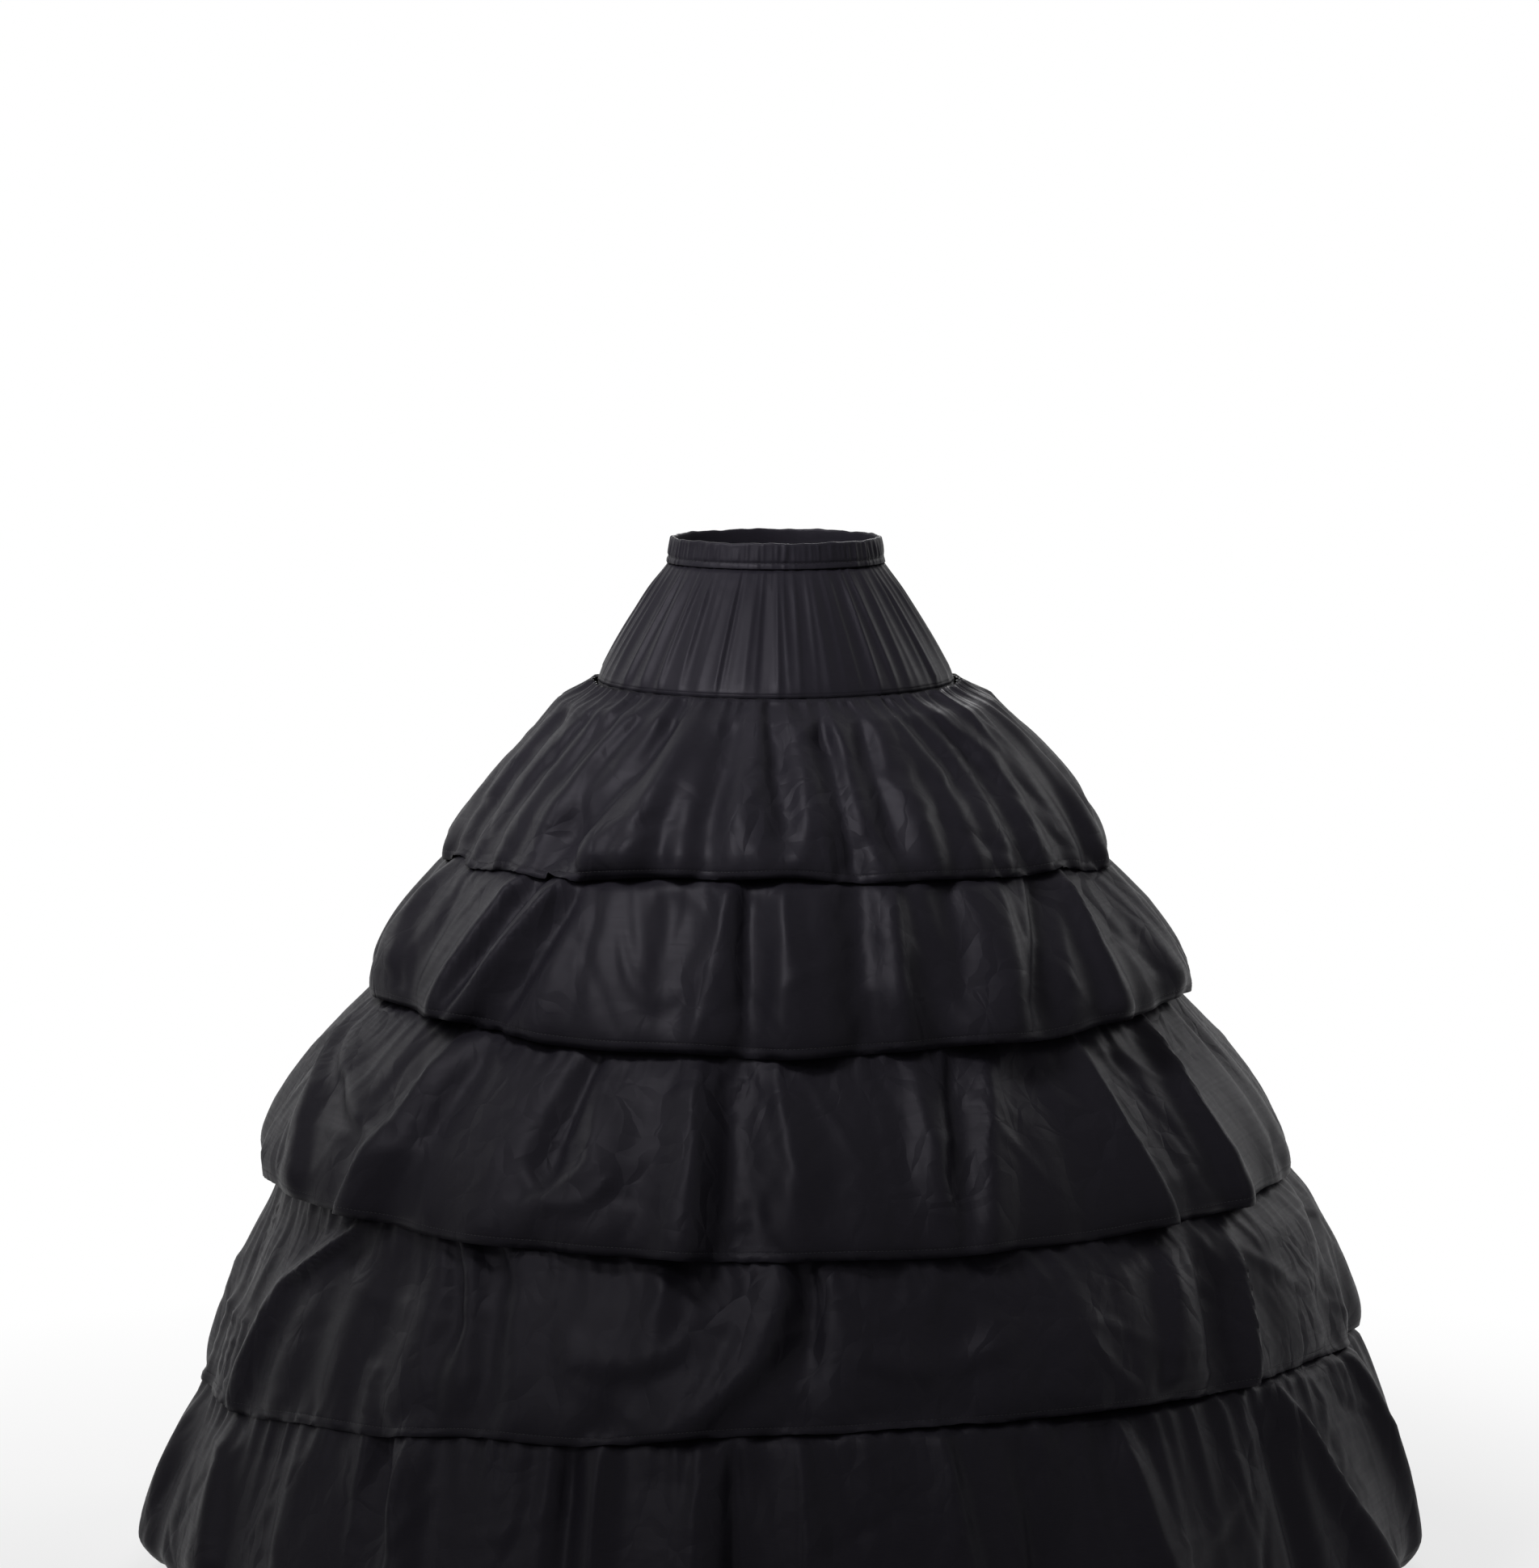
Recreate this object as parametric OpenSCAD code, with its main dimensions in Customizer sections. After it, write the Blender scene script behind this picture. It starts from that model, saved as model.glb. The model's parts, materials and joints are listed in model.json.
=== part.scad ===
// Hooped petticoat: a five-tier flounced underskirt held out by four spring hoops.
// The waist line is at the origin, +Z is up and the front faces -Y. Lengths are in millimetres.

/* [Waist] */
// Width of the waist opening, side to side
waist_w = 208; // [160:1:320]
// Depth of the waist opening, front to back
waist_d = 164; // [130:1:300]
// Height of the waistband
band_h = 26; // [18:1:60]
// Thickness of the waistband's cloth on each side of the elastic
band_cloth = 1.2; // [0.6:0.1:2.5]
// Thickness of the elastic
elastic_t = 1.6; // [1.4:0.1:3]
// Depth of the ruching on the outside of the waistband
ruche_depth = 1.2; // [0.4:0.1:3]

/* [Yoke] */
// Drop from the waist line to the yoke seam
yoke_drop = 135; // [90:1:220]
// Radius of the yoke seam
yoke_r = 184; // [150:1:230]
// Depth of the yoke's gathers
yoke_gather = 4; // [1:0.5:8]
// Length of yoke cloth tucked up into the waistband
yoke_tuck = 3; // [2:0.5:5]

/* [Hoops] */
// Drops from the waist line to the four hoops
hoop_drops = [272, 435, 620, 782]; // [250:1:1000]
// Radii of the underskirt at the four hoops
hoop_radii = [290, 385, 500, 556]; // [250:1:800]
// Width of the spring ribbon
ribbon_w = 7; // [4:0.5:12]
// Thickness of the spring ribbon
ribbon_t = 1.6; // [0.8:0.1:3]
// Gap between the two ends of a ribbon
ribbon_end_gap = 2; // [1:0.5:6]
// Length of the sleeve that joins the ends of a ribbon
joiner_len = 42; // [20:1:80]
// Wall of the joining sleeve
joiner_wall = 0.5; // [0.3:0.1:1]

/* [Casings] */
// Thickness of the casing tape
tape_t = 0.9; // [0.5:0.1:1.5]
// Height of the sewn edge above and below the channel
tape_edge = 4; // [2:0.5:8]

/* [Flounces] */
// Thickness of the flounce and underskirt cloth
cloth = 1.2; // [0.6:0.1:2]
// Height of the gathered heading sewn to the underskirt
heading_h = 10; // [6:1:16]
// Lengths of the first four flounces below the hoops that they cover
hem_overlaps = [43, 26, 26, 56]; // [20:1:70]
// Rises of the first four hems at the front
hem_front_lifts = [18, 0, 0, 32]; // [0:1:40]
// Outward puff of a flounce where it shows from under the hem above
flounce_puff = 14; // [6:0.5:24]
// Drop of the last flounce below the last hoop
last_drop = 273; // [180:1:350]
// Radius of the last flounce's hem
last_hem_r = 660; // [620:1:850]
// Outward puff of the first flounce just under the yoke seam
first_puff = 36; // [10:1:50]
// Drop over which the first flounce puffs out
first_puff_drop = 18; // [12:1:40]
// Outward puff of the last flounce where it shows from under the hem above
last_puff = 27; // [10:1:40]
// Depth of the gathers at a heading
gather_depth = 3; // [1:0.5:6]
// Depth of the folds at a hem
fold_depth = 13; // [4:1:24]
// Inward curl of a hem
hem_curl = 4; // [0:1:12]
// Inward curl of the last hem
last_hem_curl = 14; // [0:1:24]
// Rise of a hem between its folds
hem_wave = 9; // [0:1:16]
// Tilt of the fourth flounce's hem, up on the right side
fourth_hem_tilt = 22; // [0:1:40]

/* [Hidden] */
$fn = 128;

// Clearance between a piece and the channel that holds it
fit_gap = 0.2;
// Clearance between two cloths sewn face to face
stitch_gap = 0.3;
// Clearance between a hem and the flounce that it hangs over
lap_gap = 1.6;
// How far a cut runs past the face that it opens
overrun = 1;
// Plain underskirt left above and below a casing
casing_margin = 2;

// Waistband: an inverted channel of folded cloth
elastic_channel = elastic_t + 2 * fit_gap;
band_wall = 2 * band_cloth + elastic_channel;
band_ruches = 48;
ruche_points = 4;
band_columns = band_ruches * ruche_points;

// Yoke: lofted from the waist ellipse to the seam circle
yoke_gathers = 56;
yoke_columns = 2 * yoke_gathers;
yoke_row_shares = [0, 0.35, 1];
yoke_belly = 1.2;
full_gather_share = 0.25;

// Hoops and casings
joiner_t = ribbon_t + 2 * (fit_gap + joiner_wall);
joiner_w = ribbon_w + 2 * (fit_gap + joiner_wall);
casing_channel_t = joiner_t + 2 * fit_gap;
casing_channel_h = joiner_w + 2 * fit_gap;
casing_h = casing_channel_h + 2 * tape_edge;
seam_band_h = casing_h + 2 * casing_margin;
back_angle = 90;
ribbon_ease_share = 0.25;

// The five lines that the flounces hang from: the yoke seam, then the hoops
anchor_r = concat([yoke_r], hoop_radii);
anchor_z = -concat([yoke_drop], hoop_drops);
last_flounce = len(hoop_radii);

// Flounces
flounce_columns = [64, 68, 72, 76, 80];
columns_per_fold = 4;
flounce_row_shares = [0, 0.3, 0.62, 0.88, 1];
flounce_belly = 1.5;
curl_start_share = 0.84;
fold_at_emerge_share = 0.12;
gather_at_emerge_share = 0.3;
fold_least_share = 0.35;
skew_columns = 1.6;

cloth_colour = [0.12, 0.12, 0.13];
lining_colour = [0.09, 0.09, 0.1];
tape_colour = [0.06, 0.06, 0.07];
ribbon_colour = [0.85, 0.85, 0.83];
sleeve_colour = [0.7, 0.71, 0.73];
elastic_colour = [0.16, 0.16, 0.17];

function lerp(a, b, t) = a + (b - a) * t;
// A repeatable scatter from 0 to 1 for item i of series s
function scatter(i, s) = let (v = sin(i * 127.1 + s * 311.7) * 437.58) v - floor(v);

// Cloth ring: a closed wall between two grids of points, row by row from the top
module cloth_ring(outer, inner) {
    rows = len(outer);
    cols = len(outer[0]);
    half = rows * cols;
    points = concat([for (row = outer) each row], [for (row = inner) each row]);
    function at(side, j, i) = side * half + j * cols + (i + cols) % cols;
    quads = [
        for (j = [0 : rows - 2], i = [0 : cols - 1])
            each [
                [at(0, j, i), at(0, j, i + 1), at(0, j + 1, i + 1), at(0, j + 1, i)],
                [at(1, j, i), at(1, j + 1, i), at(1, j + 1, i + 1), at(1, j, i + 1)]
            ],
        for (i = [0 : cols - 1])
            each [
                [at(0, 0, i), at(1, 0, i), at(1, 0, i + 1), at(0, 0, i + 1)],
                [at(0, rows - 1, i), at(0, rows - 1, i + 1), at(1, rows - 1, i + 1), at(1, rows - 1, i)]
            ]
    ];
    polyhedron(points, [for (q = quads) each [[q[0], q[1], q[2]], [q[0], q[2], q[3]]]]);
}

// The waist ellipse, grown outwards by an offset
function waist_point(i, grow) =
    let (a = 360 * i / band_columns)
    [(waist_w / 2 + grow) * cos(a), (waist_d / 2 + grow) * sin(a)];

module waist_outline(grow) {
    polygon([for (i = [0 : band_columns - 1]) waist_point(i, grow)]);
}

module waistband() {
    outline = [
        for (i = [0 : band_columns - 1])
            let (ruche = scatter(floor(i / ruche_points), 1) * pow(sin(180 * i / ruche_points), 2))
            waist_point(i, band_wall + ruche_depth * ruche)
    ];
    color(cloth_colour)
    translate([0, 0, -band_h / 2])
    difference() {
        linear_extrude(band_h) polygon(outline);
        translate([0, 0, -overrun]) linear_extrude(band_h + 2 * overrun) waist_outline(0);
        translate([0, 0, -overrun])
        linear_extrude(band_h - band_cloth + overrun)
        difference() {
            waist_outline(band_cloth + elastic_channel);
            waist_outline(band_cloth);
        }
    }
}

module waist_elastic() {
    bottom = -band_h / 2 + yoke_tuck + fit_gap;
    top = band_h / 2 - band_cloth - fit_gap;
    color(elastic_colour)
    translate([0, 0, bottom])
    linear_extrude(top - bottom)
    difference() {
        waist_outline(band_cloth + fit_gap + elastic_t);
        waist_outline(band_cloth + fit_gap);
    }
}

// One point of the yoke at share t of its drop, with the wall taken off for the inner face
function yoke_point(i, t, depth) =
    let (
        a = 360 * i / yoke_columns,
        grow = band_cloth + (elastic_channel + cloth) / 2 - depth,
        blend = 1 - pow(1 - t, yoke_belly),
        ruche = i % 2 * yoke_gather * lerp(fold_least_share, 1, scatter(i, 2)) * min(1, t / full_gather_share),
        rx = lerp(waist_w / 2 + grow, yoke_r - depth, blend) + ruche,
        ry = lerp(waist_d / 2 + grow, yoke_r - depth, blend) + ruche
    )
    [rx * cos(a), ry * sin(a), lerp(-band_h / 2, anchor_z[0], t)];

module yoke() {
    function row(t, depth) = [for (i = [0 : yoke_columns - 1]) yoke_point(i, t, depth)];
    function tuck(depth) = [for (p = row(0, depth)) [p.x, p.y, p.z + yoke_tuck]];
    outer = concat([tuck(0)], [for (t = yoke_row_shares) row(t, 0)]);
    inner = concat([tuck(cloth)], [for (t = yoke_row_shares) row(t, cloth)]);
    color(cloth_colour) cloth_ring(outer, inner);
}

// Panel k of the underskirt: from the middle of one seam band to the middle of the next
module underskirt_panel(k) {
    top = anchor_z[k];
    top_band = k == 0 ? seam_band_h : seam_band_h / 2;
    bottom = k + 1 == last_flounce ? anchor_z[k + 1] - seam_band_h / 2 : anchor_z[k + 1];
    line = [
        [anchor_r[k], top],
        [anchor_r[k], top - top_band],
        [anchor_r[k + 1], anchor_z[k + 1] + seam_band_h / 2],
        [anchor_r[k + 1], bottom]
    ];
    inside = [for (i = [len(line) - 1 : -1 : 0]) line[i] - [cloth, 0]];
    color(lining_colour) rotate_extrude() polygon(concat(line, inside));
}

// Tape sewn inside hoop k's seam band, with a channel for the ribbon
module hoop_casing(k) {
    face = anchor_r[k] - cloth - stitch_gap;
    deep = casing_channel_t;
    half_c = casing_channel_h / 2;
    half_h = casing_h / 2;
    section = [
        [0, half_h], [-tape_t, half_h], [-tape_t, half_c + tape_t], [-deep, half_c + tape_t],
        [-deep - tape_t, half_c], [-deep - tape_t, -half_c], [-deep, -half_c - tape_t],
        [-tape_t, -half_c - tape_t], [-tape_t, -half_h], [0, -half_h],
        [0, -half_c], [-deep, -half_c], [-deep, half_c], [0, half_c]
    ];
    color(tape_colour)
    rotate_extrude()
    translate([face, anchor_z[k]])
    polygon(section);
}

// Radius of the middle of hoop k's ribbon
function ribbon_r(k) = anchor_r[k] - cloth - stitch_gap - casing_channel_t / 2;

// A flat section with eased edges, standing on end
module ribbon_section() {
    x = ribbon_t / 2;
    y = ribbon_w / 2;
    ease = ribbon_t * ribbon_ease_share;
    polygon([
        [x, y - ease], [x - ease, y], [ease - x, y], [-x, y - ease],
        [-x, ease - y], [ease - x, -y], [x - ease, -y], [x, ease - y]
    ]);
}

module hoop(k) {
    r = ribbon_r(k);
    open_angle = 180 * ribbon_end_gap / (PI * r);
    color(ribbon_colour)
    translate([0, 0, anchor_z[k]])
    rotate([0, 0, back_angle + open_angle / 2])
    rotate_extrude(angle = 360 - open_angle)
    translate([r, 0])
    ribbon_section();
}

module hoop_joiner(k) {
    r = ribbon_r(k);
    span = 180 * joiner_len / (PI * r);
    bore_t = ribbon_t + 2 * fit_gap;
    bore_w = ribbon_w + 2 * fit_gap;
    color(sleeve_colour)
    translate([0, 0, anchor_z[k]])
    rotate([0, 0, back_angle - span / 2])
    rotate_extrude(angle = span)
    translate([r, 0])
    difference() {
        square([joiner_t, joiner_w], center = true);
        square([bore_t, bore_w], center = true);
    }
}

// How far a fold of flounce k stands out at column i and share u of its length, from 0 to 1
function fold(k, i, u) =
    let (
        folds = flounce_columns[k] / columns_per_fold,
        drift = skew_columns * u * sin(360 * (2 * i / flounce_columns[k] + scatter(k, 3))),
        turn = (i + drift) / columns_per_fold,
        height = lerp(fold_least_share, 1, scatter(floor(turn + folds) % folds, k + 4))
    )
    height * pow(sin(180 * turn), 2);

// Radius of the underskirt below anchor k at height z
function underskirt_r(k, z) =
    k == last_flounce ? anchor_r[k]
    : let (
        top = anchor_z[k] - (k == 0 ? seam_band_h : seam_band_h / 2),
        bottom = anchor_z[k + 1] + seam_band_h / 2
    )
    lerp(anchor_r[k], anchor_r[k + 1], min(1, max(0, (top - z) / (top - bottom))));

// Where flounce k shows from under the hem above it
function emerge_drop(k) =
    k == 0 ? first_puff_drop
    : hem_overlaps[k - 1] + hem_wave;
function emerge_puff(k) = k == 0 ? first_puff : k == last_flounce ? last_puff : flounce_puff;
function emerge_z(k) = anchor_z[k] - emerge_drop(k);
function emerge_r(k) = underskirt_r(k, emerge_z(k)) + stitch_gap + cloth + emerge_puff(k);

// The hem of flounce k stands clear of the flounce below it
function hem_z(k) =
    k == last_flounce ? anchor_z[k] - last_drop : anchor_z[k + 1] - hem_overlaps[k];
function hem_r(k) =
    k == last_flounce ? last_hem_r
    : emerge_r(k + 1) + gather_depth * gather_at_emerge_share + fold_depth * fold_at_emerge_share
        + lap_gap + cloth + hem_turn(k);

// How far the hem of flounce k turns inwards
function hem_turn(k) = k == last_flounce ? last_hem_curl : hem_curl;

// How far the hem of flounce k rises at angle a, never past the heading below it
function hem_rise(k, a) =
    k == last_flounce ? 0
    : let (
        front = pow(max(0, -sin(a)), 2) * hem_front_lifts[k],
        side = k + 1 == last_flounce ? fourth_hem_tilt * cos(a) : 0
    )
    min(front + side, hem_overlaps[k] - heading_h - hem_wave);

// The plain section of flounce k: [radius, height, share of gather, share of fold, share of length]
function flounce_section(k) =
    let (
        n = flounce_columns[k],
        seat = (anchor_r[k] + stitch_gap) / cos(180 / n) + cloth,
        head = k == 0 ? anchor_z[0] - stitch_gap : anchor_z[k] + heading_h / 2
    )
    concat(
        [[seat, head, 1, 0, 0], [seat, k == 0 ? head - cloth : head - heading_h, 1, 0, 0]],
        [
            for (u = flounce_row_shares)
                let (curl = pow(max(0, u - curl_start_share) / (1 - curl_start_share), 2))
                [
                    lerp(emerge_r(k), hem_r(k), 1 - pow(1 - u, flounce_belly)) - hem_turn(k) * curl,
                    lerp(emerge_z(k), hem_z(k), u),
                    gather_at_emerge_share * pow(1 - u, 3),
                    lerp(fold_at_emerge_share, 1, u),
                    u
                ]
        ]
    );

// Outward normal of a section at row j, in radius and height
function section_normal(section, j) =
    let (
        a = section[max(0, j - 1)],
        b = section[min(len(section) - 1, j + 1)],
        along = [b[0] - a[0], b[1] - a[1]]
    )
    [-along[1], along[0]] / norm(along);

// Column i of flounce k at one row, with the wall taken off along the normal for the inner face
function flounce_point(k, i, row, normal, depth) =
    let (
        a = 360 * i / flounce_columns[k],
        ripple = i % 2 * gather_depth * row[2] * lerp(fold_least_share, 1, scatter(i, k + 9)),
        out = fold(k, i, row[4]),
        r = row[0] + ripple + fold_depth * row[3] * out - normal[0] * depth,
        shown = row[3] > 0 && k > 0 ? hem_rise(k - 1, a) * (1 - row[4]) : 0,
        lift = hem_wave * pow(row[4], 2) * (1 - out) + hem_rise(k, a) * row[4] + shown
    )
    [r * cos(a), r * sin(a), row[1] + lift - normal[1] * depth];

module flounce(k) {
    section = flounce_section(k);
    function face(depth) = [
        for (j = [0 : len(section) - 1])
            [
                for (i = [0 : flounce_columns[k] - 1])
                    flounce_point(k, i, section[j], section_normal(section, j), depth)
            ]
    ];
    color(cloth_colour) cloth_ring(face(0), face(cloth));
}

waistband();
waist_elastic();
yoke();
for (k = [1 : last_flounce]) {
    underskirt_panel(k - 1);
    hoop_casing(k);
    hoop(k);
    hoop_joiner(k);
}
for (k = [1 : last_flounce + 1])
    flounce(k - 1);
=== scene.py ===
import json
import math

import bpy
import numpy as np
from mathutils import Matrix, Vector

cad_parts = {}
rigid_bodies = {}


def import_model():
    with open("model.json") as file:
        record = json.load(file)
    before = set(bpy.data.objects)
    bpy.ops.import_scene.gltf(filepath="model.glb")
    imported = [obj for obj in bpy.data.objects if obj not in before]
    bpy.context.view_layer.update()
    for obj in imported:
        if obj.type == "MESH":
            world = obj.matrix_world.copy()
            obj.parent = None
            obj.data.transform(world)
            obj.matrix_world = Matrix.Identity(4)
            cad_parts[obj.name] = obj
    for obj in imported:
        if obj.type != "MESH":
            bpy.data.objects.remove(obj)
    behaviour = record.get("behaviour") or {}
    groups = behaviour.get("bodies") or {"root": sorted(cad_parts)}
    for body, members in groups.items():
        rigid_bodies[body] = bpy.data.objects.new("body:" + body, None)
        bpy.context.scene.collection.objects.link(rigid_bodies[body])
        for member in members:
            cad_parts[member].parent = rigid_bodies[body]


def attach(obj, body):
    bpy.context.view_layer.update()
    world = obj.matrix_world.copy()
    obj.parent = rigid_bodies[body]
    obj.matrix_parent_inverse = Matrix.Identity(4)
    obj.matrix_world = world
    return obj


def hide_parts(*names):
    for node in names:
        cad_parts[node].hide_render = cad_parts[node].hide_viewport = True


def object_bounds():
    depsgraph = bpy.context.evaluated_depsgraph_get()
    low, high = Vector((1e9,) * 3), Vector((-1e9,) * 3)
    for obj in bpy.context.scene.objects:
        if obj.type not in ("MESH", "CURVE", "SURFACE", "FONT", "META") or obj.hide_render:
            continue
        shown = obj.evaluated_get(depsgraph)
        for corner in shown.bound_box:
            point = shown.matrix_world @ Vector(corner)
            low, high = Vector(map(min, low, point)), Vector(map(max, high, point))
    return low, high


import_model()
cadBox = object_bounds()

scene = bpy.context.scene
perMetre = 1000
fullTurn = 2 * math.pi
anyPhase = (0, 6.28)

# camera at the photograph's angle, a little above the waist
cameraSet = {
    "place": (-0.0067, -8.0, 0.75), "pitchDown": 7.087,
    "focalPx": 9639.0, "frameWide": 1904.0, "sensor": 36.0}

camera = bpy.data.cameras.new("camera")
camera.sensor_fit = "HORIZONTAL"
camera.sensor_width = cameraSet["sensor"]
camera.lens = cameraSet["sensor"] * cameraSet["focalPx"] / cameraSet["frameWide"]
cameraObject = bpy.data.objects.new("camera", camera)
cameraObject.location = cameraSet["place"]
cameraObject.rotation_euler = (math.radians(90 - cameraSet["pitchDown"]), 0, 0)
scene.collection.objects.link(cameraObject)
scene.camera = cameraObject
print("camera set")


# shader maths: a wire carries a node's output and takes operators
def operator(operation, turned=False):
    def apply(wire, other):
        return wire.calc(operation, other, turned=turned)
    return apply


class Wire:
    def __init__(self, tree, out):
        self.tree = tree
        self.out = out

    def calc(self, operation, *others, turned=False):
        node = self.tree.nodes.new("ShaderNodeMath")
        node.operation = operation
        terms = (*others, self) if turned else (self, *others)
        for slot, term in zip(node.inputs, terms):
            connect(self.tree, term, slot)
        return Wire(self.tree, node.outputs[0])

    __add__ = operator("ADD")
    __radd__ = operator("ADD")
    __sub__ = operator("SUBTRACT")
    __mul__ = operator("MULTIPLY")
    __truediv__ = operator("DIVIDE")
    __rtruediv__ = operator("DIVIDE", turned=True)
    __pow__ = operator("POWER")

    def sin(self):
        return self.calc("SINE")

    def bell(self, centre, wide):
        return 1.0 / (1.0 + ((self - centre) / wide) ** 2.0)


def connect(tree, value, slot):
    if isinstance(value, Wire):
        tree.links.new(value.out, slot)
    else:
        slot.default_value = value


# one material's node tree, and short ways to add the nodes that it uses most
class Shade:
    def __init__(self, name):
        self.material = bpy.data.materials.new(name)
        self.material.use_nodes = True
        self.tree = self.material.node_tree
        self.tree.nodes.clear()

    def node(self, kind, sockets=(), settings=(), out=0):
        node = self.tree.nodes.new("ShaderNode" + kind)
        for key, value in dict(settings).items():
            setattr(node, key, value)
        for key, value in dict(sockets).items():
            connect(self.tree, value, node.inputs[key])
        return Wire(self.tree, node.outputs[out])

    def part(self, vector, axis):
        return self.node("SeparateXYZ", {"Vector": vector}, out=axis)

    def noise(self, at, scale, detail, roughness=0.5, distortion=0.0, out=0):
        sockets = {"Scale": scale, "Detail": detail, "Roughness": roughness, "Distortion": distortion}
        return self.node("TexNoise", {"Vector": at, **sockets}, out=out)

    def between(self, value, low, high, curve="LINEAR", least=0.0):
        sockets = {"Value": value, "From Min": low, "From Max": high, "To Min": least}
        return self.node("MapRange", sockets, {"clamp": True, "interpolation_type": curve})

    def stretch(self, at, scale):
        return self.node("Mapping", {"Vector": at, "Scale": scale})

    def ramp(self, share, *stops):
        colour = self.node("ValToRGB", {"Fac": share})
        for element, (at, tint) in zip(colour.out.node.color_ramp.elements, stops):
            element.position = at
            element.color = (*tint, 1.0)
        return colour

    def bump(self, height):
        return self.node("Bump", {"Height": height, "Strength": 1.0, "Distance": 1.0})

    def finish(self, surface):
        end = self.tree.nodes.new("ShaderNodeOutputMaterial")
        self.tree.links.new(surface.out, end.inputs["Surface"])
        return self.material


# fine detail that every cloth shares
clothGrain = {
    "slubStretch": (90.0, 1600.0, 1.0), "slubDetail": 2.0, "slubHigh": 1.2, "slubRough": 0.1,
    "streakStretch": (9.0, 330.0, 1.0), "streakDetail": 3.0, "streakRough": 0.18,
    "pleatStretch": (95.0, 7.0, 1.0), "pleatDetail": 2.0, "pleatBent": 0.5,
    "cloudScale": 7.0, "cloudDetail": 3.0, "cloudRough": 0.16, "cloudShare": 0.5,
    "crumpleDetail": 4.0, "crumpleRough": 0.55,
    "bendScale": 14.0, "bendDetail": 2.0, "bendFar": (0.05, 0.05, 0.05), "creaseTall": (1.0, 1.0, 0.6),
    "patchFrom": 0.38, "patchFull": 0.62, "grooveWide": 0.0012, "grooveDeep": 0.0004,
    "darkAt": 0.3, "lightAt": 0.7, "middle": 0.5, "sheenTint": (0.93, 0.89, 1.0, 1.0)}


# woven cloth: threads, slubs, creases, gathers under a seam and the groove of a row of stitches
def clothMaterial(name, look):
    shade = Shade(name)
    grain = clothGrain
    middle = grain["middle"]
    flat = shade.node("TexCoord", out=2)
    place = shade.node("TexCoord", out=3)
    across = shade.part(flat, 0)
    up = shade.part(flat, 1)
    threads = fullTurn / look["thread"]
    weave = (across * threads).sin() * (up * threads * look["ribs"]).sin()
    slub = shade.noise(shade.stretch(flat, grain["slubStretch"]), 1.0, grain["slubDetail"])
    streak = shade.noise(shade.stretch(flat, grain["streakStretch"]), 1.0, grain["streakDetail"])
    pleat = shade.noise(
        shade.stretch(flat, grain["pleatStretch"]), 1.0, grain["pleatDetail"], distortion=grain["pleatBent"])
    cloud = shade.noise(place, grain["cloudScale"], grain["cloudDetail"])
    crumple = shade.noise(place, look["crumpleScale"], grain["crumpleDetail"], grain["crumpleRough"])
    gathered = shade.between(up, look["gatherFrom"], look["gatherFull"], "SMOOTHSTEP")
    bend = shade.noise(place, grain["bendScale"], grain["bendDetail"], out=1)
    bent = shade.node("VectorMath", {0: bend, 1: grain["bendFar"], 2: place}, {"operation": "MULTIPLY_ADD"})
    crease = shade.node(
        "TexVoronoi", {"Vector": shade.stretch(bent, grain["creaseTall"]), "Scale": look["creaseScale"]},
        {"feature": "DISTANCE_TO_EDGE"})
    patch = shade.between(cloud, grain["patchFrom"], grain["patchFull"])
    colour = shade.ramp(
        cloud * grain["cloudShare"] + slub * (1 - grain["cloudShare"]),
        (grain["darkAt"], look["dark"]), (grain["lightAt"], look["light"]))
    rough = look["rough"] + (cloud - middle) * grain["cloudRough"]
    rough = rough + (slub - middle) * grain["slubRough"] + (streak - middle) * grain["streakRough"]
    height = weave * look["weaveHigh"] + slub * (grain["slubHigh"] * look["weaveHigh"])
    height = height - up.bell(look["stitchAt"], grain["grooveWide"]) * grain["grooveDeep"]
    height = height + streak * look["streakHigh"] + crumple * look["crumpleHigh"]
    height = height + crease * patch * look["creaseHigh"] + pleat * cloud * gathered * look["gatherHigh"]
    return shade.finish(shade.node("BsdfPrincipled", {
        "Base Color": colour, "Roughness": rough, "Normal": shade.bump(height),
        "Specular IOR Level": look["specular"], "Specular Tint": grain["sheenTint"]}))


taffetaLook = {
    "dark": (0.0046, 0.0042, 0.0059), "light": (0.0084, 0.0077, 0.0104), "rough": 0.44, "specular": 0.054,
    "thread": 0.0011, "ribs": 1.25, "weaveHigh": 0.00002, "streakHigh": 0.00005,
    "crumpleScale": 38.0, "crumpleHigh": 0.00022, "creaseScale": 30.0, "creaseHigh": 0.0045,
    "gatherFrom": 0.16, "gatherFull": 0.28, "gatherHigh": 0.0018, "stitchAt": 0.009}
yokeLook = {
    **taffetaLook, "creaseHigh": 0.0012, "stitchAt": 0.004,
    "gatherFrom": 0.02, "gatherFull": 0.12, "gatherHigh": 0.0012}
bandLook = {
    **taffetaLook, "creaseHigh": 0.0012, "stitchAt": 0.006,
    "gatherFrom": 0.0, "gatherFull": 0.01, "gatherHigh": 0.0006}
liningLook = {
    **taffetaLook, "dark": (0.0025, 0.0024, 0.003), "light": (0.0048, 0.0046, 0.0056), "rough": 0.6,
    "thread": 0.0008, "gatherHigh": 0.0}
tapeLook = {
    **taffetaLook, "dark": (0.003, 0.003, 0.0034), "light": (0.0065, 0.0065, 0.0072), "rough": 0.75,
    "thread": 0.0014, "ribs": 0.5, "weaveHigh": 0.00006, "crumpleHigh": 0.0002, "streakHigh": 0.0,
    "gatherHigh": 0.0, "stitchAt": 0.0018}
elasticLook = {
    **taffetaLook, "dark": (0.006, 0.006, 0.0065), "light": (0.016, 0.016, 0.017), "rough": 0.8,
    "thread": 0.0012, "ribs": 2.0, "weaveHigh": 0.00008, "streakHigh": 0.0, "gatherHigh": 0.0}
taffeta = clothMaterial("taffeta", taffetaLook)
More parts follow.
